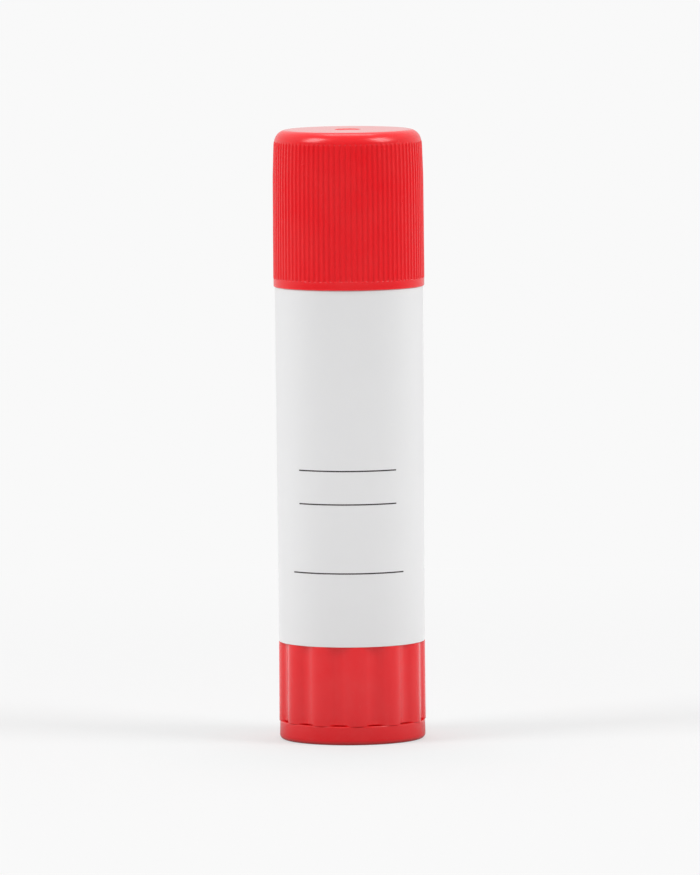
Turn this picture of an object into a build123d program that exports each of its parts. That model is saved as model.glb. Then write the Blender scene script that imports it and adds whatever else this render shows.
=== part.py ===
from build123d import *
from math import atan2, cos, hypot, radians, sin
import os

# Twist-up glue stick, in millimetres. The knob's foot stands on z = 0 and Z is the stick's axis.
# Y points away from the side that is looked at, and angles are counted from +X towards +Y.

# Clearances
sliding_fit = 0.10       # carrier ring against the barrel's bore and the tops of its ribs
running_fit = 0.08       # knob collar turning in the barrel
bead_fit = 0.10          # floor of the barrel's groove past the knob's bead
bead_side_gap = 0.15     # barrel's groove beside the knob's bead
thread_fit = 0.15        # carrier nut round the spindle
thread_side_gap = 0.12   # carrier nut beside each flank of the thread, along the axis
press_fit = 0.02         # spindle's drive stub in the knob's socket
glue_fit = 0.30          # glue and carrier wall against the bore
cap_fit = 0.06           # cap's bore over the neck's beads
joint_gap = 0.10         # knob's rim below the barrel's foot
cap_gap = 0.10           # cap's foot above the barrel's shoulder
stop_gap = 0.40          # carrier ring below the barrel's inner shoulder, wound right up
parked_gap = 0.30        # carrier above the knob's collar, wound right down
cut_overrun = 1.0        # how far a cutting tool runs past the face that it cuts

# Barrel
barrel_foot_radius = 12.55
barrel_flare = 0.20          # how much wider the shoulder is than the foot
barrel_length = 61.1
barrel_wall = 1.65
barrel_edge_radius = 0.3
shoulder_web = 1.5
collar_seat_step = 0.40      # the knob's seat is this much wider than the bore
neck_height = 17.0
neck_step = 1.30             # from the shoulder in to the neck
neck_bore_step = 0.40        # the bore is this much narrower in the neck
neck_bead_height = 0.17
neck_bead_length = 1.2
neck_bead_rises = (3.2, 13.4)
mouth_chamfer = 0.3
guide_rib_count = 6
guide_rib_width = 1.2

# Knob
knob_height = 16.8
foot_ring_inset = 0.05       # from the barrel's foot in to the ring
foot_ring_height = 3.2
foot_edge_radius = 0.75
foot_rim_width = 2.6
underside_recess = 0.6
lobe_count = 12
lobe_stand = 0.10            # how far the lobes stand out past the barrel's foot
lobe_depth = 0.77
valley_radius = 3.0
first_crest_angle = -86.2
knob_edge_chamfer = 0.2
knob_floor = 1.8
collar_height = 5.0
collar_wall = 1.0
knob_bead_height = 0.35
knob_bead_length = 1.5
knob_bead_rise = 2.7
knob_rib_count = 6
knob_rib_thickness = 1.0
knob_rib_drop = 2.5
socket_wall = 1.4
socket_rise = 1.2

# Spindle
thread_lead = 5.0
thread_core_radius = 2.1
thread_crest_radius = 3.2
thread_crest_angle = 66
thread_flank_angle = 34
spindle_flange_radius = 5.0
spindle_flange_thickness = 1.2
spindle_tip_length = 1.2
drive_across_flats = 6.0
drive_length = 12.0
drive_chamfer = 0.5

# Glue carrier
ring_height = 2.0
ring_chamfer = 0.3
cup_wall = 0.9
cup_floor = 1.2
nut_length = 9.5
nut_wall = 1.4
notch_side_gap = 0.3
rim_drop = 0.4

# Glue
glue_stand = 2.0
glue_edge_radius = 1.2
glue_bore_gap = 0.3
glue_bore_headroom = 0.5

# Cap
cap_height = 26.9
cap_foot_band = 1.4          # plain band below the ribs
cap_foot_overhang = 0.21     # how far the band stands out past the barrel's shoulder
cap_foot_edge_radius = 0.2
cap_rib_count = 88
cap_rib_stand = 0.04         # rib crests past the band
cap_rib_depth = 0.17
cap_rib_foot_rise = 0.3      # height in which a rib's foot comes out to its crest
cap_rib_body_draft = 0.06    # how much the crests draw in below the bend
cap_rib_head_draft = 0.17    # how much they draw in above it
cap_rib_bend_drop = 5.3      # the bend in the draft, below the rib heads
cap_rib_crest_share = 0.46
cap_rib_root_share = 0.28
cap_rib_head_length = 0.5    # height in which a rib's head runs in under the shoulder
cap_rib_head_fall = 0.20     # how far the crest falls along its head
cap_rib_head_step = 0.12     # from the crests at the foot of their heads in to the shoulder
cap_shoulder_radius = 2.15
cap_shoulder_land = 0.1      # straight part of the shoulder, above the rib heads
cap_top_thickness = 1.5
cap_ceiling_radius = 1.0
cap_mouth_chamfer = 0.4
stop_fin_count = 8
stop_fin_thickness = 0.8
stop_fin_depth = 1.0
stop_fin_gap = 0.15
gate_recess_radius = 2.2
gate_recess_depth = 0.15

# Levels up the stick
barrel_foot = knob_height + joint_gap
barrel_shoulder = barrel_foot + barrel_length
neck_mouth = barrel_shoulder + neck_height
inner_shoulder = barrel_shoulder - shoulder_web
collar_top = knob_height + collar_height
socket_top = knob_height + socket_rise
carrier_foot = collar_top + parked_gap
carrier_travel = inner_shoulder - stop_gap - ring_height - carrier_foot
carrier_rim = neck_mouth - rim_drop - carrier_travel
cup_floor_top = carrier_foot + nut_length + cup_floor
spindle_top = carrier_foot + carrier_travel + nut_length + cup_floor
thread_foot = socket_top + spindle_flange_thickness
glue_top = neck_mouth + glue_stand
cap_foot = barrel_shoulder + cap_gap
cap_top = cap_foot + cap_height

# Radii, from the barrel's foot inwards and outwards
barrel_shoulder_radius = barrel_foot_radius + barrel_flare
bore_radius = barrel_foot_radius - barrel_wall
neck_radius = barrel_shoulder_radius - neck_step
neck_bore_radius = bore_radius - neck_bore_step
neck_bead_radius = neck_radius + neck_bead_height
collar_seat_radius = bore_radius + collar_seat_step
collar_radius = collar_seat_radius - running_fit
knob_cavity_radius = collar_radius - collar_wall
foot_ring_radius = barrel_foot_radius - foot_ring_inset
lobe_crest_radius = barrel_foot_radius + lobe_stand
socket_radius = drive_across_flats / 2 / cos(radians(30)) + socket_wall
nut_radius = thread_crest_radius + thread_fit + nut_wall
ring_radius = bore_radius - sliding_fit
cup_radius = neck_bore_radius - glue_fit
cup_bore_radius = cup_radius - cup_wall
cap_bore_radius = neck_bead_radius + cap_fit


def turned(*corners):
    """Solid of revolution about Z. A corner is (radius, height) or (radius, height, rounding)."""
    points = [(corner[0], 0, corner[1]) for corner in corners]
    roundings = [corner[2] if len(corner) > 2 else 0 for corner in corners]
    outline = FilletPolyline(*points, radius=roundings, close=True)
    return revolve(make_face(outline), Axis.Z)


def disc(radius, low, high):
    """Plain round bar between two heights."""
    return Pos(0, 0, low) * extrude(Circle(radius), high - low)


def bead(wall_radius, height, length, middle):
    """Ring of trapezoid section on a round wall, its flanks sloped at 45 degrees."""
    root_radius = wall_radius - height
    return turned(
        (root_radius, middle - length / 2),
        (wall_radius, middle - length / 2),
        (wall_radius + height, middle - length / 2 + height),
        (wall_radius + height, middle + length / 2 - height),
        (wall_radius, middle + length / 2),
        (root_radius, middle + length / 2),
    )


def spokes(count, thickness, inner, outer, low, high):
    """Flat radial walls, evenly spaced, that run from one radius out to another."""
    wall = Pos((inner + outer) / 2, 0, (low + high) / 2) * Box(outer - inner, thickness, high - low)
    return [Rot(0, 0, 360 * index / count) * wall for index in range(count)]


def polar(radius, angle, height=0):
    """Point at a radius and an angle in radians."""
    return (radius * cos(angle), radius * sin(angle), height)


def lobed_outline():
    """Round lobes joined by hollow valleys, each arc tangent to the next."""
    half_pitch = radians(180 / lobe_count)
    valley_centre = lobe_crest_radius - lobe_depth + valley_radius
    reach = valley_centre * cos(half_pitch)
    # The lobe's radius is the one at which lobe and valley circles just touch
    lobe_radius = lobe_crest_radius**2 + valley_centre**2 - 2 * reach * lobe_crest_radius - valley_radius**2
    lobe_radius /= 2 * (lobe_crest_radius + valley_radius - reach)
    lobe_centre = lobe_crest_radius - lobe_radius
    contact_share = lobe_radius / (lobe_radius + valley_radius)
    contact_x = lobe_centre + contact_share * (reach - lobe_centre)
    contact_y = contact_share * valley_centre * sin(half_pitch)
    contact_radius = hypot(contact_x, contact_y)
    contact_angle = atan2(contact_y, contact_x)
    arcs = []
    for index in range(lobe_count):
        crest = radians(first_crest_angle) + 2 * half_pitch * index
        start = polar(contact_radius, crest - contact_angle)
        end = polar(contact_radius, crest + contact_angle)
        valley = polar(lobe_crest_radius - lobe_depth, crest + half_pitch)
        following = polar(contact_radius, crest + 2 * half_pitch - contact_angle)
        arcs.append(ThreePointArc(start, polar(lobe_crest_radius, crest), end))
        arcs.append(ThreePointArc(end, valley, following))
    return make_face(Wire(arcs))


def make_knob():
    """Lobed cup with a rounded foot ring, a snap collar, inner ribs and the spindle's socket."""
    lobes = Pos(0, 0, foot_ring_height) * extrude(lobed_outline(), knob_height - foot_ring_height)
    top_edges = lobes.faces().sort_by(Axis.Z)[-1].edges()
    knob = chamfer(top_edges, knob_edge_chamfer)
    knob += turned(
        (0, 0),
        (foot_ring_radius, 0, foot_edge_radius),
        (foot_ring_radius, foot_ring_height),
        (0, foot_ring_height),
    )
    knob += disc(collar_radius, foot_ring_height, collar_top)
    knob += bead(collar_radius, knob_bead_height, knob_bead_length, knob_height + knob_bead_rise)
    knob -= disc(knob_cavity_radius, underside_recess + knob_floor, collar_top + cut_overrun)
    knob -= disc(foot_ring_radius - foot_rim_width, -cut_overrun, underside_recess)
    knob += disc(socket_radius, underside_recess, socket_top)
    inner = socket_radius - socket_wall / 2
    outer = knob_cavity_radius + collar_wall / 2
    rib_top = knob_height - knob_rib_drop
    knob += spokes(knob_rib_count, knob_rib_thickness, inner, outer, underside_recess, rib_top)
    return knob - drive_bar(press_fit, socket_top - drive_length - press_fit, socket_top + cut_overrun)


def drive_bar(gap, low, high):
    """Six-sided bar that turns the spindle, as much larger all round as the gap given."""
    section = RegularPolygon(drive_across_flats / 2 + gap, 6, major_radius=False)
    return Pos(0, 0, low) * extrude(section, high - low)


def screw_section(gap, side_gap):
    """Cross-section of the one-start screw: a round core with one broad cam standing out of it."""
    core = thread_core_radius + gap
    crest = thread_crest_radius + gap
    half_crest = radians(thread_crest_angle / 2 + 360 * side_gap / thread_lead)
    half_foot = half_crest + radians(thread_flank_angle)
    edges = [
        ThreePointArc(polar(crest, -half_crest), polar(crest, 0), polar(crest, half_crest)),
        Line(polar(crest, half_crest), polar(core, half_foot)),
        ThreePointArc(polar(core, half_foot), (-core, 0, 0), polar(core, -half_foot)),
        Line(polar(core, -half_foot), polar(crest, -half_crest)),
    ]
    return make_face(Wire(edges))


def screw(gap, side_gap, low, high):
    """Left-hand screw between two heights, in step with every other screw made here."""
    start_angle = -360 * (low - thread_foot) / thread_lead
    twist = -360 * (high - low) / thread_lead
    section = Rot(0, 0, start_angle) * screw_section(gap, side_gap)
    bar = Solid.extrude_linear_with_rotation(section.face(), (0, 0, 0), (0, 0, high - low), twist)
    return Pos(0, 0, low) * bar


def make_spindle():
    """Coarse screw on a flange that seats on the knob's socket, over a six-sided drive stub."""
    spindle = screw(0, 0, thread_foot, spindle_top)
    # The tip is turned down to the core, so that the carrier finds its way on
    spindle -= turned(
        (thread_core_radius, spindle_top + cut_overrun),
        (thread_core_radius, spindle_top),
        (thread_crest_radius, spindle_top - spindle_tip_length),
        (thread_crest_radius + cut_overrun, spindle_top - spindle_tip_length),
        (thread_crest_radius + cut_overrun, spindle_top + cut_overrun),
    )
    spindle += disc(spindle_flange_radius, socket_top, thread_foot)
    stub = drive_bar(0, socket_top - drive_length, socket_top)
    stub_end = stub.faces().sort_by(Axis.Z)[0].edges()
    return spindle + chamfer(stub_end, drive_chamfer)


def make_barrel():
    """Tapered tube with a narrower neck, guide ribs in its bore and a groove for the knob's bead."""
    seat_top = collar_top + parked_gap / 2
    barrel = turned(
        (collar_seat_radius, barrel_foot),
        (barrel_foot_radius, barrel_foot, barrel_edge_radius),
        (barrel_shoulder_radius, barrel_shoulder, barrel_edge_radius),
        (neck_radius, barrel_shoulder),
        (neck_radius, neck_mouth - mouth_chamfer),
        (neck_radius - mouth_chamfer, neck_mouth),
        (neck_bore_radius, neck_mouth),
        (neck_bore_radius, inner_shoulder),
        (bore_radius, inner_shoulder),
        (bore_radius, seat_top),
        (collar_seat_radius, seat_top),
    )
    for rise in neck_bead_rises:
        barrel += bead(neck_radius, neck_bead_height, neck_bead_length, barrel_shoulder + rise)
    groove_depth = knob_bead_height + bead_fit
    groove_length = knob_bead_length + 2 * bead_side_gap
    barrel -= bead(collar_seat_radius, groove_depth, groove_length, knob_height + knob_bead_rise)
    wall_middle = bore_radius + barrel_wall / 2
    ribs = spokes(guide_rib_count, guide_rib_width, neck_bore_radius, wall_middle, seat_top, inner_shoulder)
    return barrel + ribs


def make_glue_cup():
    """Carrier: a notched guide ring, a skirt, the cup that holds the glue, and a nut below its floor."""
    cup = turned(
        (cup_bore_radius, carrier_foot),
        (ring_radius, carrier_foot, ring_chamfer),
        (ring_radius, carrier_foot + ring_height, ring_chamfer),
        (cup_radius, carrier_foot + ring_height),
        (cup_radius, carrier_rim),
        (cup_bore_radius, carrier_rim),
        (cup_bore_radius, cup_floor_top),
        (0, cup_floor_top),
        (0, carrier_foot),
        (nut_radius, carrier_foot),
        (nut_radius, cup_floor_top - cup_floor),
        (cup_bore_radius, cup_floor_top - cup_floor),
    )
    notch_width = guide_rib_width + 2 * notch_side_gap
    notch_floor = neck_bore_radius - sliding_fit
    notch_end = bore_radius + cut_overrun
    ring_low = carrier_foot - cut_overrun
    ring_high = carrier_foot + ring_height + cut_overrun
    cup -= spokes(guide_rib_count, notch_width, notch_floor, notch_end, ring_low, ring_high)
    thread_overrun = thread_lead / 4
    thread_low = carrier_foot - thread_overrun
    return cup - screw(thread_fit, thread_side_gap, thread_low, cup_floor_top + thread_overrun)


def make_glue_column():
    """Stick of adhesive: narrow where the cup holds it, full above, bored out round the spindle."""
    spindle_bore = thread_crest_radius + glue_bore_gap
    bore_top = spindle_top + glue_bore_headroom
    return turned(
        (spindle_bore, cup_floor_top),
        (cup_bore_radius, cup_floor_top),
        (cup_bore_radius, carrier_rim),
        (cup_radius, carrier_rim),
        (cup_radius, glue_top, glue_edge_radius),
        (0, glue_top),
        (0, bore_top),
        (spindle_bore, bore_top),
    )


def ribbed_ring(crest_radius, root_radius, height):
    """Closed line round the cap with a flat-topped rib and a flat-floored groove, over and over."""
    pitch = radians(360 / cap_rib_count)
    half_crest = pitch * cap_rib_crest_share / 2
    half_root = pitch * cap_rib_root_share / 2
    points = []
    for index in range(cap_rib_count):
        crest = pitch * index
        groove = crest + pitch / 2
        points.append(polar(crest_radius, crest - half_crest, height))
        points.append(polar(crest_radius, crest + half_crest, height))
        points.append(polar(root_radius, groove - half_root, height))
        points.append(polar(root_radius, groove + half_root, height))
    return Wire.make_polygon(points, close=True)


def make_cap():
    """Ribbed cap with a smooth foot band, a rounded shoulder, stop fins inside and a gate recess."""
    band_radius = barrel_shoulder_radius + cap_foot_overhang
    band_top = cap_foot + cap_foot_band
    full_radius = band_radius + cap_rib_stand
    bend_radius = full_radius - cap_rib_body_draft
    head_radius = bend_radius - cap_rib_head_draft
    tip_radius = head_radius - cap_rib_head_fall
    rib_head = cap_top - cap_shoulder_radius - cap_shoulder_land
    head_foot = rib_head - cap_rib_head_length
    rib_rings = [
        ribbed_ring(band_radius, full_radius - cap_rib_depth, band_top),
        ribbed_ring(full_radius, full_radius - cap_rib_depth, band_top + cap_rib_foot_rise),
        ribbed_ring(bend_radius, bend_radius - cap_rib_depth, rib_head - cap_rib_bend_drop),
        ribbed_ring(head_radius, head_radius - cap_rib_depth, head_foot),
        ribbed_ring(tip_radius, tip_radius - cap_rib_depth, rib_head),
    ]
    cap = Solid.make_loft(rib_rings, ruled=True)
    cap += turned(
        (0, cap_foot),
        (band_radius, cap_foot, cap_foot_edge_radius),
        (band_radius, band_top),
        (0, band_top),
    )
    shoulder_radius = head_radius - cap_rib_head_step
    cap += turned(
        (0, head_foot),
        (shoulder_radius, head_foot),
        (shoulder_radius, cap_top, cap_shoulder_radius),
        (0, cap_top),
    )
    ceiling = cap_top - cap_top_thickness
    cap -= turned(
        (0, cap_foot - cut_overrun),
        (cap_bore_radius + cap_mouth_chamfer, cap_foot - cut_overrun),
        (cap_bore_radius + cap_mouth_chamfer, cap_foot),
        (cap_bore_radius, cap_foot + cap_mouth_chamfer),
        (cap_bore_radius, ceiling, cap_ceiling_radius),
        (0, ceiling),
    )
    # The fins run a little way into the wall and the ceiling, to be one with them
    fin_root = stop_fin_thickness / 4
    fin_inner = cap_bore_radius - stop_fin_depth
    fin_outer = cap_bore_radius + fin_root
    fin_foot = neck_mouth + stop_fin_gap
    cap += spokes(stop_fin_count, stop_fin_thickness, fin_inner, fin_outer, fin_foot, ceiling + fin_root)
    return cap - disc(gate_recess_radius, cap_top - gate_recess_depth, cap_top + cut_overrun)


pieces = {
    "knob": make_knob(),
    "spindle": make_spindle(),
    "barrel": make_barrel(),
    "glue_cup": make_glue_cup(),
    "glue_column": make_glue_column(),
    "cap": make_cap(),
}

os.makedirs("parts", exist_ok=True)
for name, piece in pieces.items():
    export_step(piece, f"parts/{name}.step")

print(f"carrier travel {carrier_travel:.2f}, turns {carrier_travel / thread_lead:.3f}")
print(f"overall height {cap_top:.2f}, glue {glue_top - cup_floor_top:.2f} tall")
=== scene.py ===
import bpy
import numpy as np
from mathutils import Matrix, Vector


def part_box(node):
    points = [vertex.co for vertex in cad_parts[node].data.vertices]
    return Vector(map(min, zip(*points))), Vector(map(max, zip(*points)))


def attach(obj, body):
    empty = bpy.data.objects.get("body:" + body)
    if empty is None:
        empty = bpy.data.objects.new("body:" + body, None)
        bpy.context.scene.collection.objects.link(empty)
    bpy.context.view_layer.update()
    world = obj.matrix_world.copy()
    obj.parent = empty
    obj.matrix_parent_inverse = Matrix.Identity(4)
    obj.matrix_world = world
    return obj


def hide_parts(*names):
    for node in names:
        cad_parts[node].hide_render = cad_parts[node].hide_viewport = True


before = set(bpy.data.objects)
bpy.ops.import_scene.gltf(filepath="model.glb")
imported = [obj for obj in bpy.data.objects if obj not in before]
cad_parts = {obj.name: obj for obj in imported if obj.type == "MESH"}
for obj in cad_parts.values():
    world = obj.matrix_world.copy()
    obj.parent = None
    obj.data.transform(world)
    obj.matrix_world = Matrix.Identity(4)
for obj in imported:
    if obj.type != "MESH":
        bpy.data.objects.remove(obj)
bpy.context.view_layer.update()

# Camera
# A long lens a metre and three quarters away, five degrees above level, as a shop's studio photographs a
# small thing. The picture is taller than wide, and Blender gives the sensor's width to the longer side.

camera_distance = 1.75
camera_elevation = np.radians(4.87)
camera_roll = np.radians(-0.5)
sensor_width = 36
picture_height = 875
pixels_per_metre = 5812
aim_height = 0.05191
aim_side = -0.00004

camera = bpy.data.objects.new("camera", bpy.data.cameras.new("camera"))
bpy.context.scene.collection.objects.link(camera)
bpy.context.scene.camera = camera
camera.data.sensor_width = sensor_width
camera.data.lens = sensor_width * pixels_per_metre * camera_distance / picture_height
camera.data.clip_start = camera_distance / 10
camera.data.clip_end = camera_distance * 10
camera.location = (
    aim_side,
    -camera_distance * np.cos(camera_elevation),
    aim_height + camera_distance * np.sin(camera_elevation),
)
tilt = Matrix.Rotation(np.pi / 2 - camera_elevation, 4, "X") @ Matrix.Rotation(camera_roll, 4, "Z")
camera.rotation_euler = tilt.to_euler()
bpy.context.scene.view_settings.view_transform = "Standard"

# Knob
# Red polypropylene moulding with twelve round lobes over a plain foot ring. Its collar snaps into the
# barrel, and the spindle's six-sided stub is pressed into the socket in its middle.

# The sizes of the pieces are in millimetres, and mm turns them into metres
mm = 0.001
knob_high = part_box("knob")[1]
barrel_low, barrel_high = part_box("barrel")
knob_columns = 720
lobe_count = 12
lobe_crest_radius = 12.65
lobe_depth = 0.77
lobe_draft = 0.04
valley_radius = 3.0
first_crest_angle = np.radians(-86.2)
shut_line = 0.02
knob_top = barrel_low.z / mm - shut_line
knob_edge = 0.06
ring_top = 3.2
ring_radius = 12.50
ring_bulge = 0.06
ring_foot_radius = 0.75
rim_width = 2.6
underside_recess = 0.6
crescent_depth = 0.5
crescent_height = 0.16
crescent_start_share = 0.35
row_gap = 0.06
collar_top = knob_high.z / mm
collar_radius = 11.22
collar_wall = 1.0
snap_bead = 0.35
snap_half = 0.75
snap_middle = 19.5
cavity_floor = 2.4
web_count = 6
web_top = 14.3
web_half_angle = np.radians(3.8)
socket_top = 18.0
socket_floor = 5.98
socket_outer_radius = 4.86
hex_sides = 6
hex_apothem = 3.02
crisp = 0.1
eased = 0.2
arc_step = 0.015
fewest_arc_rows, most_arc_rows = 3, 14


def rounded_profile(*corners):
    """Rows down a profile, each row holding radius, height, edge wear and highlight, and any shares given
    after them.

    A corner is (radius, height, rounding, shares...). One with rounding becomes an arc tangent to both of
    its sides: centre plus rounding times the cosine and sine of an angle that sweeps evenly from one side
    to the other. Its rows grow in number with the root of the rounding. Two more rows close beside every
    arc keep the flat sides flat when the surface is shaded smooth. Edge wear and highlight is 1 in the
    middle of an arc that bends outwards, and 0 elsewhere. It pales such an edge, partly as wear and partly
    as a painted highlight where the rounded edge would catch light.
    """
    places = np.array([corner[:2] for corner in corners], float)
    shares = np.array([corner[3:] for corner in corners], float)
    rows = []
    for index, corner in enumerate(corners):
        rounding = corner[2]
        tip = places[index]
        if rounding == 0:
            rows.append(np.hstack([tip, 0, shares[index]])[None])
            continue
        back = places[index - 1] - tip
        ahead = places[(index + 1) % len(corners)] - tip
        back_length, ahead_length = np.linalg.norm(back), np.linalg.norm(ahead)
        back, ahead = back / back_length, ahead / ahead_length
        half_opening = np.arccos(np.clip(back @ ahead, -1, 1)) / 2
        setback = rounding / np.tan(half_opening)
        middle = (back + ahead) / np.linalg.norm(back + ahead)
        centre = tip + middle * rounding / np.sin(half_opening)
        first, last = tip + back * setback - centre, tip + ahead * setback - centre
        start = np.arctan2(first[1], first[0])
        sweep = (np.arctan2(last[1], last[0]) - start + np.pi) % (2 * np.pi) - np.pi
        count = int(np.clip(np.sqrt(rounding / arc_step), fewest_arc_rows, most_arc_rows))
        turn = np.linspace(0, 1, count)
        angle = start + sweep * turn
        arc = centre + rounding * np.stack([np.cos(angle), np.sin(angle)], 1)
        # Outward arcs get 1, and the material pales them, as edge wear and as a painted highlight
        wear_and_highlight = np.sin(np.pi * turn) * (sweep < 0)
        hold = min(row_gap, (min(back_length, ahead_length) - setback) / 4)
        before, after = tip + back * (setback + hold), tip + ahead * (setback + hold)
        points = np.vstack([before, arc, after])
        wear_and_highlight = np.hstack([0, wear_and_highlight, 0])
        rows.append(np.column_stack([points, wear_and_highlight, np.tile(shares[index], (count + 2, 1))]))
    return np.vstack(rows)


def turned_piece(name, radii, heights, angles, wear_and_highlight, ring=False):
    """Object whose surface is a grid of rings round Z.

    Row i and column j give the point at radii[i, j] from the axis, at the angle angles[j] and at
    heights[i, j]. Rows run down the outside and back up the inside, or from a pole to a pole. The first
    and last rows meet each other where ring is true, and otherwise each is one point.
    """
    rows, columns = radii.shape
    points = np.stack([radii * np.cos(angles), radii * np.sin(angles), heights + 0 * radii], -1)
    index = np.arange(rows * columns).reshape(rows, columns)
    if not ring:
        index[0], index[-1] = index[0, 0], index[-1, 0]
    used, index = np.unique(index, return_inverse=True)
    index = index.reshape(rows, columns)
    above, below = (index, np.roll(index, -1, 0)) if ring else (index[:-1], index[1:])
    quads = np.stack([above, below, np.roll(below, -1, 1), np.roll(above, -1, 1)], -1).reshape(-1, 4)
    at_top = quads[:, 0] == quads[:, 3]
    at_foot = quads[:, 1] == quads[:, 2]
    faces = quads[~(at_top | at_foot)].tolist()
    faces += quads[at_top][:, [0, 1, 2]].tolist() + quads[at_foot][:, [0, 1, 3]].tolist()
    mesh = bpy.data.meshes.new(name)
    mesh.from_pydata((points.reshape(-1, 3)[used] * mm).tolist(), [], faces)
    mesh.shade_smooth()
    # Values per point: outward rounded edges are paled, as wear and as a painted highlight
    attribute = mesh.attributes.new("edge_wear_and_highlight", "FLOAT", "POINT")
    attribute.data.foreach_set("value", np.repeat(wear_and_highlight, columns)[used].astype(np.float32))
    piece = bpy.data.objects.new(name, mesh)
    bpy.context.scene.collection.objects.link(piece)
    return piece


def smooth_step(value):
    """0 below 0, 1 above 1, and between them 3 v squared less 2 v cubed."""
    value = np.clip(value, 0, 1)
    return value * value * (3 - 2 * value)


def from_nearest(angles, count, first=0):
    """Angle from the nearest of count directions, spaced evenly round the axis from the one at first."""
    pitch = 2 * np.pi / count
    return (angles - first + pitch / 2) % pitch - pitch / 2


def lobe_radius_at(angles):
    """Radius of the lobed wall.

    Within a lobe it is where the ray meets the lobe's circle, c cos a plus the root of r squared less
    c squared sin squared a, and in a valley it is the near meeting with the valley's circle. The two
    circles touch, which gives the lobe's radius.
    """
    half_pitch = np.pi / lobe_count
    valley_centre = lobe_crest_radius - lobe_depth + valley_radius
    reach = valley_centre * np.cos(half_pitch)
    lobe = lobe_crest_radius**2 + valley_centre**2 - 2 * reach * lobe_crest_radius - valley_radius**2
    lobe /= 2 * (lobe_crest_radius + valley_radius - reach)
    lobe_centre = lobe_crest_radius - lobe
    contact = lobe / (lobe + valley_radius)
    contact_x = lobe_centre + contact * (reach - lobe_centre)
    contact_angle = np.arctan2(contact * valley_centre * np.sin(half_pitch), contact_x)
    away = np.abs(from_nearest(angles, lobe_count, first_crest_angle))
    on_lobe = lobe_centre * np.cos(away) + np.sqrt(lobe**2 - (lobe_centre * np.sin(away)) ** 2)
    off_valley = half_pitch - away
    under_root = np.maximum(valley_radius**2 - (valley_centre * np.sin(off_valley)) ** 2, 0)
    in_valley = valley_centre * np.cos(off_valley) - np.sqrt(under_root)
    return np.where(away < contact_angle, on_lobe, in_valley)


# After its rounding a corner has four shares: lobes, crescent, inner web and six-sided. A crescent is the
# dark cut that the mould leaves at the foot of a valley, over the ring.
crescent_top = ring_top + crescent_height
knob_rows = rounded_profile(
    (0, socket_floor, 0, 0, 0, 0, 1),
    (hex_apothem, socket_floor, crisp, 0, 0, 0, 1),
    (hex_apothem, socket_top, crisp, 0, 0, 0, 1),
    (socket_outer_radius, socket_top, eased, 0, 0, 0, 0),
    (socket_outer_radius, cavity_floor, eased, 0, 0, 1, 0),
    (collar_radius - collar_wall, cavity_floor, eased, 0, 0, 1, 0),
    (collar_radius - collar_wall, collar_top, eased, 0, 0, 0, 0),
    (collar_radius, collar_top, eased, 0, 0, 0, 0),
    (collar_radius, snap_middle + snap_half, crisp, 0, 0, 0, 0),
    (collar_radius + snap_bead, snap_middle + snap_half - snap_bead, crisp, 0, 0, 0, 0),
    (collar_radius + snap_bead, snap_middle - snap_half + snap_bead, crisp, 0, 0, 0, 0),
    (collar_radius, snap_middle - snap_half, crisp, 0, 0, 0, 0),
    (collar_radius, knob_top, crisp, 0, 0, 0, 0),
    (lobe_crest_radius - lobe_draft, knob_top, knob_edge, 1, 0, 0, 0),
    (lobe_crest_radius, crescent_top + 2 * row_gap, 0, 1, 0, 0, 0),
    (lobe_crest_radius, crescent_top + row_gap, 0, 1, 0, 0, 0),
    (lobe_crest_radius, crescent_top, 0, 1, 0.5, 0, 0),
    (lobe_crest_radius, crescent_top - row_gap, 0, 1, 1, 0, 0),
    (lobe_crest_radius, ring_top + row_gap, 0, 1, 1, 0, 0),
    (lobe_crest_radius - row_gap / 2, ring_top, 0, 1, 1, 0, 0),
)
ring_rows = rounded_profile(
    (collar_radius, ring_top, 0, 0, 0, 0, 0),
    (ring_radius, ring_top, crisp, 0, 0, 0, 0),
    (ring_radius + ring_bulge, 0, ring_foot_radius, 0, 0, 0, 0),
    (ring_radius - rim_width, 0, eased, 0, 0, 0, 0),
    (ring_radius - rim_width, underside_recess, eased, 0, 0, 0, 0),
    (0, underside_recess, 0, 0, 0, 0, 0),
)
# The ring's first corner only gives its top a direction, for the lobes' last row already stands over it
knob_rows = np.vstack([knob_rows, ring_rows[1:]])
knob_angles = np.arange(knob_columns) * 2 * np.pi / knob_columns
lobe_offset = lobe_radius_at(knob_angles) - lobe_crest_radius
valley_share = -lobe_offset / lobe_depth
past_start = (valley_share - crescent_start_share) / (1 - crescent_start_share)
crescent = crescent_depth * smooth_step(past_start)
web = np.abs(from_nearest(knob_angles, web_count)) < web_half_angle
hexagon = 1 / np.cos(from_nearest(knob_angles, hex_sides, np.pi / hex_sides))
base, height, wear_and_highlight, lobed, cut, webbed, six_sided = knob_rows.T[:, :, None]
knob_radii = (base + lobed * lobe_offset - cut * crescent) * (1 + six_sided * (hexagon - 1))
knob_heights = height + webbed * web * (web_top - cavity_floor)
knob = turned_piece("knob_moulding", knob_radii, knob_heights, knob_angles, wear_and_highlight[:, 0])
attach(knob, "twist_knob")
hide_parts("knob")


def place(tree, kind, inputs=None, **options):
    """Adds a shader node, sets its options and fills its inputs with values or other nodes' outputs."""
    node = tree.nodes.new(kind)
    for option, value in options.items():
        setattr(node, option, value)
    for socket, value in (inputs or {}).items():
        if isinstance(value, bpy.types.NodeSocket):
            tree.links.new(value, node.inputs[socket])
        else:
            node.inputs[socket].default_value = value
    return node


def empty_material(name):
    """Material with no nodes yet, its tree, and the place on the piece in object coordinates."""
    material = bpy.data.materials.new(name)
    material.use_nodes = True
    material.node_tree.nodes.clear()
    where = place(material.node_tree, "ShaderNodeTexCoord").outputs["Object"]
    return material, material.node_tree, where


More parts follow.
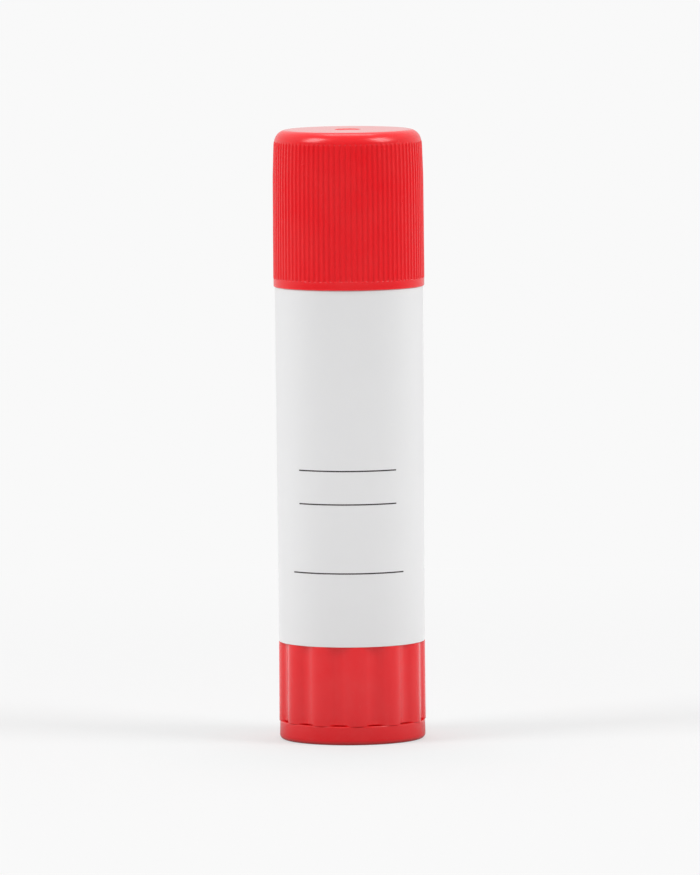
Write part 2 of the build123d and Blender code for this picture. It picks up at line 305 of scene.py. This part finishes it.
def node_group(name, inputs, outputs):
    """Empty shader node group with a vector input called Place, number inputs, and the outputs named."""
    group = bpy.data.node_groups.new(name, "ShaderNodeTree")
    group.interface.new_socket("Place", in_out="INPUT", socket_type="NodeSocketVector")
    for socket, value in inputs.items():
        number = group.interface.new_socket(socket, in_out="INPUT", socket_type="NodeSocketFloat")
        number.default_value = value
    for socket in outputs:
        group.interface.new_socket(socket, in_out="OUTPUT", socket_type="NodeSocketFloat")
    return group, group.nodes.new("NodeGroupInput"), group.nodes.new("NodeGroupOutput")


def moulded_skin_group():
    """Moulding finish: a slow cloudiness, streaks of flow along Z and a fine orange peel.

    Clouds is noise a few millimetres across. Flow is noise stretched eight times along Z. Peel is noise a
    few tenths of a millimetre across, for bump. Each runs from 0 to 1.
    """
    along_stretch = 0.12
    darkest, palest = 0.3, 0.7
    inputs = {"Cloud Scale": 160, "Flow Scale": 500, "Peel Scale": 2600}
    group, given, result = node_group("moulded_skin", inputs, ("Clouds", "Flow", "Peel"))
    where = given.outputs["Place"]
    stretched = place(group, "ShaderNodeMapping", {"Vector": where, "Scale": (1, 1, along_stretch)})
    for socket, scale, vector, detail in (
        ("Clouds", "Cloud Scale", where, 3),
        ("Flow", "Flow Scale", stretched.outputs["Vector"], 2),
        ("Peel", "Peel Scale", where, 2),
    ):
        noise = place(group, "ShaderNodeTexNoise", {
            "Vector": vector, "Scale": given.outputs[scale], "Detail": detail,
        })
        spread = place(group, "ShaderNodeMapRange", {
            "Value": noise.outputs["Fac"], "From Min": darkest, "From Max": palest,
        })
        group.links.new(spread.outputs["Result"], result.inputs[socket])
    return group


def handling_marks_group():
    """Marks of handling: fine scratches and pale specks, both as masks from 0 to 1.

    Scratches are the thin level line of a stretched, turned noise, kept only where a slow noise is high.
    Specks are the middles of a few random cells.
    """
    scratch_turn, scratch_stretch = (0.5, 0.9, 0.3), (1, 0.14, 0.3)
    level = 0.5
    patch_scale, patch_start, patch_full = 260, 0.58, 0.7
    bare_cells = 0.93
    inputs = {"Scratch Scale": 900, "Scratch Width": 0.012, "Speck Scale": 330, "Speck Size": 0.05}
    group, given, result = node_group("handling_marks", inputs, ("Scratches", "Specks"))
    where = given.outputs["Place"]
    turned = place(group, "ShaderNodeMapping", {
        "Vector": where, "Rotation": scratch_turn, "Scale": scratch_stretch,
    })
    lines = place(group, "ShaderNodeTexNoise", {
        "Vector": turned.outputs["Vector"], "Scale": given.outputs["Scratch Scale"], "Detail": 1,
    })
    off_level = place(group, "ShaderNodeMath", {0: lines.outputs["Fac"], 1: level}, operation="SUBTRACT")
    off_level = place(group, "ShaderNodeMath", {0: off_level.outputs[0]}, operation="ABSOLUTE")
    line = place(group, "ShaderNodeMapRange", {
        "Value": off_level.outputs[0], "From Min": 0, "From Max": given.outputs["Scratch Width"],
        "To Min": 1, "To Max": 0,
    })
    patches = place(group, "ShaderNodeTexNoise", {"Vector": where, "Scale": patch_scale, "Detail": 2})
    patch = place(group, "ShaderNodeMapRange", {
        "Value": patches.outputs["Fac"], "From Min": patch_start, "From Max": patch_full,
    })
    scratches = place(group, "ShaderNodeMath", {
        0: line.outputs[0], 1: patch.outputs[0],
    }, operation="MULTIPLY")
    group.links.new(scratches.outputs[0], result.inputs["Scratches"])
    cells = place(group, "ShaderNodeTexVoronoi", {
        "Vector": where, "Scale": given.outputs["Speck Scale"],
    })
    near = place(group, "ShaderNodeMapRange", {
        "Value": cells.outputs["Distance"], "From Min": 0, "From Max": given.outputs["Speck Size"],
        "To Min": 1, "To Max": 0,
    })
    chosen = place(group, "ShaderNodeSeparateColor", {"Color": cells.outputs["Color"]})
    rare = place(group, "ShaderNodeMath", {
        0: chosen.outputs["Red"], 1: bare_cells,
    }, operation="GREATER_THAN")
    specks = place(group, "ShaderNodeMath", {
        0: near.outputs[0], 1: rare.outputs[0],
    }, operation="MULTIPLY")
    group.links.new(specks.outputs[0], result.inputs["Specks"])
    return group


moulded_skin = moulded_skin_group()
handling_marks = handling_marks_group()


def moulded_plastic(name, colour, pale_colour, roughness, peel_height, marks, polish=0.0, polish_from=1.0):
    """Polypropylene as it leaves the mould.

    Its colour is clouded a little towards its paler tone, and more so on outward rounded edges, partly as
    edge wear and partly as a painted highlight. Its gloss varies with the flow, and scratches and specks
    catch the light by the share given as marks. Above polish_from, a height up Z, the mould was polished,
    and the roughness is less by the polish.
    """
    # The edge share pales outward rounded edges, partly as wear and partly as a painted highlight
    cloud_share, wear_and_highlight_share, scratch_share, speck_share = 0.05, 0.35, 0.25, 0.9
    flow_gloss, flow_dullness = 0.015, 0.02
    scratch_dullness, scratch_depth = 0.15, 0.8
    polish_edge = 0.0002
    refraction = 1.49
    material, tree, where = empty_material(name)
    skin = place(tree, "ShaderNodeGroup", node_tree=moulded_skin)
    handling = place(tree, "ShaderNodeGroup", node_tree=handling_marks)
    for group in (skin, handling):
        tree.links.new(where, group.inputs["Place"])
    # Edge values: wear, and a painted highlight on the rounded edges
    edges = place(tree, "ShaderNodeAttribute", attribute_name="edge_wear_and_highlight")
    paleness = 0
    for mask, share in (
        (skin.outputs["Clouds"], cloud_share),
        (edges.outputs["Fac"], wear_and_highlight_share),
        (handling.outputs["Scratches"], scratch_share * marks),
        (handling.outputs["Specks"], speck_share * marks),
    ):
        added = place(tree, "ShaderNodeMath", {0: mask, 1: share, 2: paleness}, operation="MULTIPLY_ADD",
                      use_clamp=True)
        paleness = added.outputs[0]
    tone = place(tree, "ShaderNodeMix", {
        0: paleness, 6: (*colour, 1), 7: (*pale_colour, 1),
    }, data_type="RGBA")
    gloss = place(tree, "ShaderNodeMapRange", {
        "Value": skin.outputs["Flow"],
        "To Min": roughness - flow_gloss, "To Max": roughness + flow_dullness,
    })
    gloss = place(tree, "ShaderNodeMath", {
        0: handling.outputs["Scratches"], 1: scratch_dullness * marks, 2: gloss.outputs[0],
    }, operation="MULTIPLY_ADD")
    rise = place(tree, "ShaderNodeSeparateXYZ", {0: where})
    polished = place(tree, "ShaderNodeMapRange", {
        "Value": rise.outputs["Z"], "From Min": polish_from, "From Max": polish_from + polish_edge,
        "To Min": 0, "To Max": polish,
    })
    gloss = place(tree, "ShaderNodeMath", {
        0: gloss.outputs[0], 1: polished.outputs[0],
    }, operation="SUBTRACT")
    relief = place(tree, "ShaderNodeMath", {
        0: handling.outputs["Scratches"], 1: -scratch_depth * marks, 2: skin.outputs["Peel"],
    }, operation="MULTIPLY_ADD")
    bump = place(tree, "ShaderNodeBump", {
        "Strength": 1, "Distance": peel_height, "Height": relief.outputs[0],
    })
    shader = place(tree, "ShaderNodeBsdfPrincipled", {
        "Base Color": tone.outputs[2], "Roughness": gloss.outputs[0], "IOR": refraction,
        "Normal": bump.outputs[0],
    })
    place(tree, "ShaderNodeOutputMaterial", {"Surface": shader.outputs[0]})
    return material


red = (0.87, 0.003, 0.009)
pale_red = (0.86, 0.16, 0.15)
red_marks = 0.25
red_peel = 0.000001
knob_roughness = 0.20
knob.data.materials.append(moulded_plastic(
    "red_knob_polypropylene", red, pale_red, knob_roughness, red_peel, red_marks,
))

# Spindle
# Natural polypropylene screw that stands in the knob's socket and runs through the carrier's nut. It is
# moulded in two halves of a die, in a plain satin finish, and nobody handles it.

natural = (0.78, 0.77, 0.73)
pale_natural = (0.88, 0.87, 0.84)
natural_marks = 0.3
natural_peel = 0.000003
natural_roughness = 0.42
natural_plastic = moulded_plastic(
    "natural_polypropylene", natural, pale_natural, natural_roughness, natural_peel, natural_marks,
)
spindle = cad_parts["spindle"]
spindle.data.materials.clear()
spindle.data.materials.append(natural_plastic)

# Barrel
# White polypropylene tube, drafted so that it widens towards the cap. The cap slides on its narrower neck,
# over two low beads, and six ribs in its bore keep the carrier from turning.

cap_low, cap_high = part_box("cap")
barrel_columns = 480
barrel_foot = barrel_low.z / mm
barrel_mouth = barrel_high.z / mm
barrel_shoulder = cap_low.z / mm - shut_line
barrel_foot_radius = 12.55
barrel_shoulder_radius = 12.75
barrel_edge = 0.05
neck_radius = 11.45
neck_bead = 0.17
neck_bead_half = 0.6
neck_bead_places = (91.4, 81.2)
mouth_rounding = 0.3
bore_radius = 10.9
neck_bore_radius = 10.5
seat_radius = 11.3
seat_top = 21.95
inner_shoulder = 76.5
groove_depth = 0.45
groove_half = 0.9
guide_rib_count = 6
guide_rib_height = 0.38
guide_rib_half_width = 0.6


def bead_corners(wall, proud, half, middle):
    """Four corners, from the top down, of a bead whose flanks slope at 45 degrees."""
    return (
        (wall, middle + half, barrel_edge, 0),
        (wall + proud, middle + half - proud, barrel_edge, 0),
        (wall + proud, middle - half + proud, barrel_edge, 0),
        (wall, middle - half, barrel_edge, 0),
    )


# After its rounding a corner has one share, of the guide ribs
barrel_rows = rounded_profile(
    (neck_radius, barrel_mouth, mouth_rounding, 0),
    *bead_corners(neck_radius, neck_bead, neck_bead_half, neck_bead_places[0]),
    *bead_corners(neck_radius, neck_bead, neck_bead_half, neck_bead_places[1]),
    (neck_radius, barrel_shoulder, eased, 0),
    (barrel_shoulder_radius, barrel_shoulder, barrel_edge, 0),
    (barrel_foot_radius, barrel_foot, barrel_edge, 0),
    (seat_radius, barrel_foot, eased, 0),
    *bead_corners(seat_radius, groove_depth, groove_half, snap_middle)[::-1],
    (seat_radius, seat_top, crisp, 0),
    (bore_radius, seat_top, crisp, 1),
    (bore_radius, inner_shoulder, crisp, 1),
    (neck_bore_radius, inner_shoulder, crisp, 0),
    (neck_bore_radius, barrel_mouth, eased, 0),
)
barrel_angles = np.arange(barrel_columns) * 2 * np.pi / barrel_columns
guide_rib = np.abs(from_nearest(barrel_angles, guide_rib_count)) * bore_radius < guide_rib_half_width
base, height, wear_and_highlight, ribbed = barrel_rows.T[:, :, None]
barrel_radii = base - ribbed * guide_rib * guide_rib_height
barrel = turned_piece("barrel_moulding", barrel_radii, height, barrel_angles, wear_and_highlight[:, 0], ring=True)
white = (0.82, 0.82, 0.825)
pale_white = (0.90, 0.90, 0.90)
white_marks = 0.5
white_peel = 0.000002
white_roughness = 0.33
barrel.data.materials.append(moulded_plastic(
    "white_barrel_polypropylene", white, pale_white, white_roughness, white_peel, white_marks,
))
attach(barrel, "barrel")
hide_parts("barrel")

# Printed rules
# Three thin dark lines screened on the front of the barrel. They are ink, a few hundredths of a millimetre
# thick, and they follow the barrel's draft.

ink_thickness = 0.02
rule_width = 0.22
rule_middle_angle = np.radians(-93.0)
rule_heights = (47.15, 41.41, 29.56)
rule_half_angles = np.radians((41.0, 41.0, 48.0))
rule_steps = 96


def barrel_radius_at(height):
    """Radius of the drafted tube, which grows evenly from its foot to its shoulder."""
    along = (height - barrel_foot) / (barrel_shoulder - barrel_foot)
    return barrel_foot_radius + along * (barrel_shoulder_radius - barrel_foot_radius)


def ink_strip(height, half_angle):
    """Points and faces of a closed low box bent round the barrel.

    The four corners of its section are carried along the arc, and a face closes each of its two ends.
    """
    angle = rule_middle_angle + half_angle * np.linspace(-1, 1, rule_steps)
    lift = np.array([-ink_thickness, ink_thickness, ink_thickness, -ink_thickness])
    level = height + rule_width / 2 * np.array([1, 1, -1, -1])
    radius = barrel_radius_at(level) + lift
    points = np.stack([
        radius * np.cos(angle)[:, None], radius * np.sin(angle)[:, None], level + 0 * angle[:, None],
    ], -1)
    index = np.arange(rule_steps * 4).reshape(rule_steps, 4)
    side = np.stack([index[:-1], np.roll(index[:-1], -1, 1), np.roll(index[1:], -1, 1), index[1:]], -1)
    ends = np.stack([index[0, ::-1], index[-1]])
    return points.reshape(-1, 3) * mm, np.vstack([side.reshape(-1, 4), ends])


strips = [ink_strip(*rule) for rule in zip(rule_heights, rule_half_angles)]
rule_points = np.vstack([points for points, faces in strips])
rule_faces = np.vstack([faces + 4 * rule_steps * index for index, (points, faces) in enumerate(strips)])
rule_mesh = bpy.data.meshes.new("printed_rules")
rule_mesh.from_pydata(rule_points.tolist(), [], rule_faces.tolist())
printed_rules = bpy.data.objects.new("printed_rules", rule_mesh)
bpy.context.scene.collection.objects.link(printed_rules)


def ink_material():
    """Screen-printing ink: a warm black that is a little thin in places, and duller than the plastic."""
    ink, thin_ink = (0.022, 0.014, 0.014, 1), (0.09, 0.07, 0.07, 1)
    least_roughness, most_roughness = 0.4, 0.6
    thin_start, thin_full = 0.45, 0.8
    grain_scale = 4000
    material, tree, where = empty_material("dark_ink")
    grain = place(tree, "ShaderNodeTexNoise", {"Vector": where, "Scale": grain_scale, "Detail": 3})
    thin = place(tree, "ShaderNodeMapRange", {
        "Value": grain.outputs["Fac"], "From Min": thin_start, "From Max": thin_full,
    })
    tone = place(tree, "ShaderNodeMix", {0: thin.outputs[0], 6: ink, 7: thin_ink}, data_type="RGBA")
    dull = place(tree, "ShaderNodeMapRange", {
        "Value": grain.outputs["Fac"], "To Min": least_roughness, "To Max": most_roughness,
    })
    shader = place(tree, "ShaderNodeBsdfPrincipled", {
        "Base Color": tone.outputs[2], "Roughness": dull.outputs[0],
    })
    place(tree, "ShaderNodeOutputMaterial", {"Surface": shader.outputs[0]})
    return material


rule_mesh.materials.append(ink_material())
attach(printed_rules, "barrel")

# Glue cup
# Natural polypropylene carrier with a nut under its floor, which the spindle raises. It slides on the
# barrel's guide ribs, out of sight, and has the spindle's plain satin finish.

glue_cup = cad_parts["glue_cup"]
glue_cup.data.materials.clear()
glue_cup.data.materials.append(natural_plastic)

# Glue
# Stick of firm, waxy adhesive, cast into its cup through the open mouth. Its top has sunk a little while
# it set, inside a rounded rim.

glue_low, glue_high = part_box("glue_column")
glue_columns = 240
glue_top = glue_high.z / mm
glue_foot = glue_low.z / mm
glue_radius = 10.2
glue_rim_rounding = 1.2
glue_sink = 0.45
cup_rim = 42.6
cup_bore = 9.3
spindle_bore = 3.5
bore_top = 85.3
sunk_radii = (0, 2.0, 4.5, 6.5, 8.0)
sunk_shares = (1, 1, 0.75, 0.4, 0.1)
glue_rows = rounded_profile(
    *[(radius, glue_top - share * glue_sink, 0) for radius, share in zip(sunk_radii, sunk_shares)],
    (glue_radius, glue_top, glue_rim_rounding),
    (glue_radius, cup_rim, crisp),
    (cup_bore, cup_rim, crisp),
    (cup_bore, glue_foot, eased),
    (spindle_bore, glue_foot, eased),
    (spindle_bore, bore_top, eased),
    (0, bore_top, 0),
)
glue_angles = np.arange(glue_columns) * 2 * np.pi / glue_columns
base, height, wear_and_highlight = glue_rows.T[:, :, None]
glue = turned_piece("glue_stick", base + 0 * glue_angles, height, glue_angles, wear_and_highlight[:, 0])


def glue_material():
    """Waxy adhesive: off-white with a slow mottling, light passing a little way in, and a soft sheen."""
    glue_tone, pale_glue_tone = (0.84, 0.83, 0.76, 1), (0.90, 0.89, 0.84, 1)
    least_roughness, most_roughness = 0.35, 0.6
    refraction = 1.46
    mottle_scale, pore_scale = 350, 1800
    pore_depth = 0.00002
    light_reach = 0.001
    material, tree, where = empty_material("waxy_glue")
    mottle = place(tree, "ShaderNodeTexNoise", {"Vector": where, "Scale": mottle_scale, "Detail": 4})
    tone = place(tree, "ShaderNodeMix", {
        0: mottle.outputs["Fac"], 6: glue_tone, 7: pale_glue_tone,
    }, data_type="RGBA")
    sheen = place(tree, "ShaderNodeMapRange", {
        "Value": mottle.outputs["Fac"], "To Min": least_roughness, "To Max": most_roughness,
    })
    pores = place(tree, "ShaderNodeTexNoise", {"Vector": where, "Scale": pore_scale, "Detail": 3})
    bump = place(tree, "ShaderNodeBump", {
        "Strength": 1, "Distance": pore_depth, "Height": pores.outputs["Fac"],
    })
    shader = place(tree, "ShaderNodeBsdfPrincipled", {
        "Base Color": tone.outputs[2], "Roughness": sheen.outputs[0], "IOR": refraction,
        "Normal": bump.outputs[0], "Subsurface Weight": 0.25, "Subsurface Radius": (1, 0.9, 0.7),
        "Subsurface Scale": light_reach,
    })
    place(tree, "ShaderNodeOutputMaterial", {"Surface": shader.outputs[0]})
    return material


glue.data.materials.append(glue_material())
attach(glue, "carrier")
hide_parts("glue_column")

# Cap
# Red polypropylene cap with eighty-eight upright ribs, moulded from its middle: the gate has left a small
# round recess in its top. Eight fins inside stop it on the barrel's mouth.

cap_foot = cap_low.z / mm
cap_top = cap_high.z / mm
cap_shoulder_radius = 12.65
cap_shoulder_rounding = 2.2
rib_count = 88
rib_columns = 12
rib_depth = 0.18
rib_head = 103.2
rib_head_length = 0.5
rib_foot = 79.5
rib_foot_length = 0.1
rib_top_half_share = 0.10
rib_flank_share = 0.34
band_top = 79.0
band_radius = 12.96
rib_head_rows = 9
rib_head_span = (0.04, -0.53)
wall_levels = (102.5, 101.9, 101.4, 100, 98.5, 97.4, 96.6, 95, 90, 85, 81, 80.2)
rib_foot_rows = 10
rib_foot_span = (0.45, -0.1)
above_band = np.array((0.3, 0.15, 0.05, -0.02))
crest_heights = (band_top, 79.8, 97.0, 102.25, rib_head)
crest_radii = (band_radius, 12.995, 12.94, 12.77, 12.70)
foot_rounding = 0.15
cap_bore_radius = 11.68
cap_bore_chamfer = 0.4
cap_ceiling = 103.5
ceiling_rounding = 1.0
fin_count = 8
fin_foot = 95.15
fin_depth = 1.0
fin_half_width = 0.4
recess_radius = 2.2
recess_depth = 0.09
recess_rounding = 0.08

rib_steps = (np.arange(rib_columns) + 0.5) / rib_columns - 0.5
cap_angles = (2 * np.pi / rib_count * (np.arange(rib_count)[:, None] + rib_steps)).ravel()
across = np.abs(np.tile(rib_steps, rib_count))
rib = 1 - smooth_step((across - rib_top_half_share) / rib_flank_share)
fin = np.abs(from_nearest(cap_angles, fin_count)) * cap_bore_radius < fin_half_width

# The last corner only gives the shoulder's arc its lower side. The ribs run a little way up the arc, and
# their rows take over from it there, closer together at the heads and feet than along the wall.
top_rows = rounded_profile(
    (0, cap_top - recess_depth, 0),
    (recess_radius, cap_top - recess_depth, recess_rounding),
    (recess_radius, cap_top, recess_rounding),
    (cap_shoulder_radius, cap_top, cap_shoulder_rounding),
    (cap_shoulder_radius, rib_foot, 0),
)[:-2]
top_rows = top_rows[top_rows[:, 1] > rib_head + row_gap]
rib_levels = np.hstack([
    rib_head + np.linspace(*rib_head_span, rib_head_rows),
    wall_levels,
    rib_foot + np.linspace(*rib_foot_span, rib_foot_rows),
    band_top + above_band,
])
crest = np.interp(rib_levels, crest_heights, crest_radii)
groove = rib_depth * smooth_step((rib_levels - rib_foot) / rib_foot_length)
rib_radii = crest[:, None] - groove[:, None] * (1 - rib)
head = smooth_step((rib_levels - rib_head + rib_head_length) / rib_head_length)[:, None]
up_arc = np.maximum(rib_levels - cap_top + cap_shoulder_rounding, 0)
arc_drop = cap_shoulder_rounding - np.sqrt(cap_shoulder_rounding**2 - up_arc**2)
rib_radii = rib_radii + head * (cap_shoulder_radius - arc_drop[:, None] - rib_radii)
foot_rows = rounded_profile(
    (band_radius, band_top, 0),
    (band_radius, cap_foot, foot_rounding),
    (cap_bore_radius + cap_bore_chamfer, cap_foot, row_gap),
    (cap_bore_radius, cap_foot + cap_bore_chamfer, crisp),
    (cap_bore_radius, fin_foot - row_gap, 0),
    (cap_bore_radius, fin_foot, 0),
    (cap_bore_radius, fin_foot + row_gap, 0),
    (cap_bore_radius, cap_ceiling, ceiling_rounding),
    (0, cap_ceiling, 0),
)[1:]
inside_radii = foot_rows[:, :1] + 0 * cap_angles
finned = (foot_rows[:, 1] > fin_foot)[:, None] & fin
inside_radii = np.where(finned, np.minimum(inside_radii, cap_bore_radius - fin_depth), inside_radii)
cap_radii = np.vstack([top_rows[:, :1] + 0 * cap_angles, rib_radii, inside_radii])
cap_heights = np.hstack([top_rows[:, 1], rib_levels, foot_rows[:, 1]])[:, None]
# The top and ribs get no edge values. The foot's rounded edge keeps its own and is paled, partly as wear
# and partly as a painted highlight for the light that the white tube below throws up onto it.
cap_wear_and_highlight = np.hstack([0 * top_rows[:, 2], 0 * rib_levels, foot_rows[:, 2]])
cap = turned_piece("cap_moulding", cap_radii, cap_heights, cap_angles, cap_wear_and_highlight)
cap_roughness = 0.25
cap_polish = 0.17
cap_polish_from = (cap_top - eased) * mm
cap.data.materials.append(moulded_plastic(
    "red_cap_polypropylene", red, pale_red, cap_roughness, red_peel, red_marks,
    polish=cap_polish, polish_from=cap_polish_from,
))
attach(cap, "cap")
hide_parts("cap")

# Floor
# A plain pale sheet, lit as the stick is. The camera sees it fade into the white backdrop away from the
# stick, and it keeps the soft shadows near the foot. Near the foot it is painted a darker grey for the
# light it bounces, as painted shade on the stick's lower part. There the camera sees it tinted a little
# cyan, painted against the red light that the knob bounces onto it.

backdrop_white = 0.947
floor_radius = 0.45
floor_columns = 96
floor_drop = 0.00001
floor_angles = np.arange(floor_columns) * 2 * np.pi / floor_columns
floor_points = floor_radius * np.stack([np.cos(floor_angles), np.sin(floor_angles)], -1)
floor_points = np.column_stack([floor_points, np.full(floor_columns, -floor_drop)])
floor_mesh = bpy.data.meshes.new("floor")
floor_mesh.from_pydata(floor_points.tolist(), [], [list(range(floor_columns))])
floor = bpy.data.objects.new("floor", floor_mesh)
bpy.context.scene.collection.objects.link(floor)


def floor_material():
    """Diffuse for every ray but the camera's own, which sees it mixed with the backdrop's white.

    The other rays find it white far out and painted a darker grey near the foot, as painted shade on the
    stick's lower part. The camera's part is tinted a little cyan near the foot, painted against the red
    light that the knob bounces onto it. Each share and shade changes smoothly with the distance from the
    stick's middle.
    """
    # Painted light: near the foot the shade is a little cyan, which takes the pink of the knob's red
    # bounce light out of the floor
    foot_tint_against_red_bounce, far_shade = (0.69, 0.72, 0.72, 1), (0.72, 0.72, 0.72, 1)
    material, tree, where = empty_material("pale_floor")
    away = place(tree, "ShaderNodeVectorMath", {0: where}, operation="LENGTH").outputs["Value"]

    def fade(near, far, near_value, far_value):
        """Value that turns smoothly from one to the other as the distance grows from near to far."""
        return place(tree, "ShaderNodeMapRange", {
            "Value": away, "From Min": near, "From Max": far, "To Min": near_value, "To Max": far_value,
        }, interpolation_type="SMOOTHSTEP").outputs[0]

    # Painted shade: for the light the floor bounces, it is a darker grey near the foot, which shades the
    # stick's lower part
    painted_bounce_shade = fade(near=0.012, far=0.06, near_value=0.4, far_value=0.8)
    tone = place(tree, "ShaderNodeCombineColor", {"Red": painted_bounce_shade, "Green": painted_bounce_shade, "Blue": painted_bounce_shade})
    plain = place(tree, "ShaderNodeBsdfDiffuse", {"Color": tone.outputs[0]})
    shade = place(tree, "ShaderNodeMix", {
        0: fade(near=0.013, far=0.06, near_value=0, far_value=1), 6: foot_tint_against_red_bounce, 7: far_shade,
    }, data_type="RGBA")
    shown = place(tree, "ShaderNodeBsdfDiffuse", {"Color": shade.outputs[2]})
    glow = place(tree, "ShaderNodeEmission", {"Color": (backdrop_white,) * 3 + (1,), "Strength": 1})
    mixed = place(tree, "ShaderNodeMixShader", {
        0: fade(near=0.05, far=0.3, near_value=0.5, far_value=0), 1: glow.outputs[0], 2: shown.outputs[0],
    })
    path = place(tree, "ShaderNodeLightPath")
    both = place(tree, "ShaderNodeMixShader", {
        0: path.outputs["Is Camera Ray"], 1: plain.outputs[0], 2: mixed.outputs[0],
    })
    place(tree, "ShaderNodeOutputMaterial", {"Surface": both.outputs[0]})
    return material


floor_mesh.materials.append(floor_material())

# Backdrop and lamps
# A white backdrop stands behind and beside the stick, and the room in front is dim. Two softboxes stand at
# the sides, and a weaker one hangs above, a little behind.

room_light = 0.26
ceiling_light = 0.58
backdrop_light = 0.77
ceiling_start, ceiling_full = 0.15, 0.8
backdrop_start, backdrop_full = -0.6, 0.5
world = bpy.data.worlds.new("studio")
bpy.context.scene.world = world
world.use_nodes = True
sky = world.node_tree
sky.nodes.clear()
view_ray = place(sky, "ShaderNodeTexCoord").outputs["Generated"]
direction = place(sky, "ShaderNodeSeparateXYZ", {0: view_ray})
above = place(sky, "ShaderNodeMapRange", {
    "Value": direction.outputs["Z"], "From Min": ceiling_start, "From Max": ceiling_full,
    "To Min": room_light, "To Max": ceiling_light,
}, interpolation_type="SMOOTHSTEP")
behind = place(sky, "ShaderNodeMapRange", {
    "Value": direction.outputs["Y"], "From Min": backdrop_start, "From Max": backdrop_full,
    "To Min": above.outputs[0], "To Max": backdrop_light,
}, interpolation_type="SMOOTHSTEP")
studio = place(sky, "ShaderNodeBackground", {"Color": (1, 1, 1, 1), "Strength": behind.outputs[0]})
white_backdrop = place(sky, "ShaderNodeBackground", {
    "Color": (backdrop_white,) * 3 + (1,), "Strength": 1,
})
path = place(sky, "ShaderNodeLightPath")
seen = place(sky, "ShaderNodeMath", {
    0: path.outputs["Is Camera Ray"], 1: path.outputs["Is Transmission Ray"],
}, operation="MAXIMUM")
mixed = place(sky, "ShaderNodeMixShader", {
    0: seen.outputs[0], 1: studio.outputs[0], 2: white_backdrop.outputs[0],
})
place(sky, "ShaderNodeOutputWorld", {"Surface": mixed.outputs[0]})

lamp_aim = Vector((0, 0, 0.055))


def softbox(name, azimuth, elevation, distance, width, height, power):
    """Area lamp that faces the stick. Azimuth is counted from the camera's side, positive towards +X."""
    lamp = bpy.data.objects.new(name, bpy.data.lights.new(name, "AREA"))
    bpy.context.scene.collection.objects.link(lamp)
    lamp.data.shape = "RECTANGLE"
    lamp.data.size = width
    lamp.data.size_y = height
    lamp.data.energy = power
    azimuth, elevation = np.radians(azimuth), np.radians(elevation)
    level = np.cos(elevation)
    way = Vector((np.sin(azimuth) * level, -np.cos(azimuth) * level, np.sin(elevation)))
    lamp.location = lamp_aim + way * distance
    lamp.rotation_euler = way.to_track_quat("Z", "Y").to_euler()


side = {"elevation": 44, "distance": 1.2, "width": 0.45, "height": 0.6, "power": 6.0}
softbox("left_softbox", azimuth=-66, **side)
softbox("right_softbox", azimuth=66, **side)
softbox("top_softbox", azimuth=180, elevation=68, distance=1.1, width=0.5, height=0.4, power=1.8)
